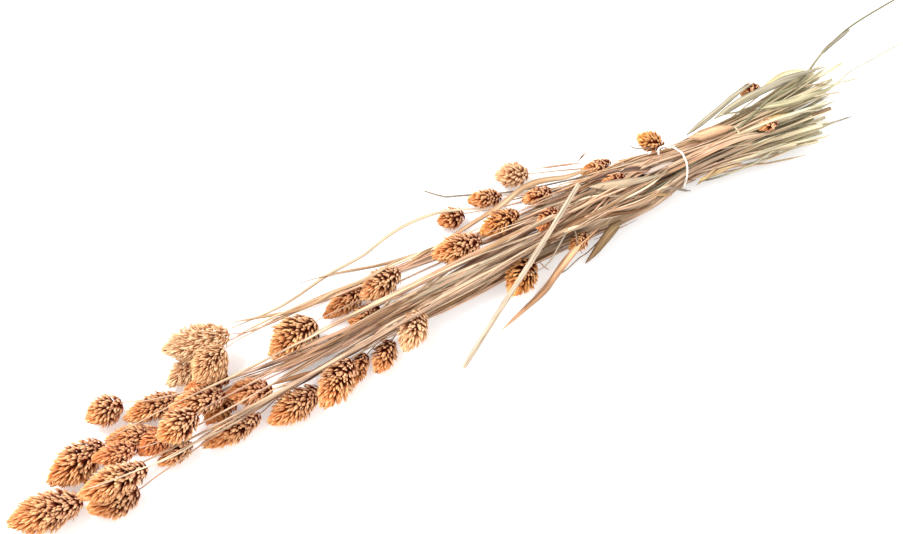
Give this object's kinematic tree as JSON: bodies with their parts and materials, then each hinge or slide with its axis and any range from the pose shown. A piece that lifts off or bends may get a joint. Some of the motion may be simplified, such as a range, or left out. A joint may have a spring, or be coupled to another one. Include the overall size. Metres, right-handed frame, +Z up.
{
  "type": "bundle of dried canary grass",
  "caption": "Bundle of dried canary grass lying down: oval seed heads on long stems, loose leaf blades and a string tie near the cut ends.",
  "frame": {"origin": "middle of the bounding box in plan, on the surface that the bundle lies on", "axes": "+X along the bundle from the seed heads to the cut butts, +Y across the bundle, +Z up from the surface"},
  "size_m": [0.6294, 0.118, 0.0421],
  "materials": {
    "seed": "dry matte bracts",
    "culm": "dry satin straw",
    "straw": "dry matte blade",
    "brown": "dry matte blade",
    "peach": "dry matte blade",
    "olive": "dry matte blade",
    "sage": "dry matte blade",
    "string": "soft twisted string"
  },
  "bodies": {
    "root": {"flowering_stem_01": "seed", "flowering_stem_02": "seed", "flowering_stem_03": "seed", "flowering_stem_04": "seed", "flowering_stem_05": "seed", "flowering_stem_06": "seed", "flowering_stem_07": "seed", "flowering_stem_08": "seed", "flowering_stem_09": "seed", "flowering_stem_10": "seed", "flowering_stem_11": "seed", "flowering_stem_12": "seed", "flowering_stem_13": "seed", "flowering_stem_14": "seed", "flowering_stem_15": "seed", "flowering_stem_16": "seed", "flowering_stem_17": "seed", "flowering_stem_18": "seed", "flowering_stem_19": "seed", "flowering_stem_20": "seed", "flowering_stem_21": "seed", "flowering_stem_22": "seed", "flowering_stem_23": "seed", "flowering_stem_24": "seed", "flowering_stem_25": "seed", "flowering_stem_26": "seed", "flowering_stem_27": "seed", "flowering_stem_28": "seed", "flowering_stem_29": "seed", "flowering_stem_30": "seed", "flowering_stem_31": "seed", "flowering_stem_32": "seed", "flowering_stem_33": "seed", "flowering_stem_34": "seed", "flowering_stem_35": "seed", "flowering_stem_36": "seed", "flowering_stem_37": "seed", "flowering_stem_38": "seed", "flowering_stem_39": "seed", "flowering_stem_40": "seed", "flowering_stem_41": "seed", "flowering_stem_42": "seed", "bare_stalk_broken": "culm", "bare_stalk_stray": "culm", "bare_stalk_across": "culm", "bare_stalk_thin": "culm", "leaf_far_wisp_long": "straw", "leaf_far_wisp_short": "straw", "leaf_brown_ribbon": "brown", "leaf_pale_strap": "straw", "leaf_peach_low": "peach", "leaf_olive_low": "olive", "leaf_thin_low": "olive", "leaf_peach_tie": "peach", "leaf_fan_green": "olive", "leaf_fan_folded": "sage", "leaf_long_awn": "sage", "leaf_sage": "sage", "tie": "string"}
  },
  "joints": []
}
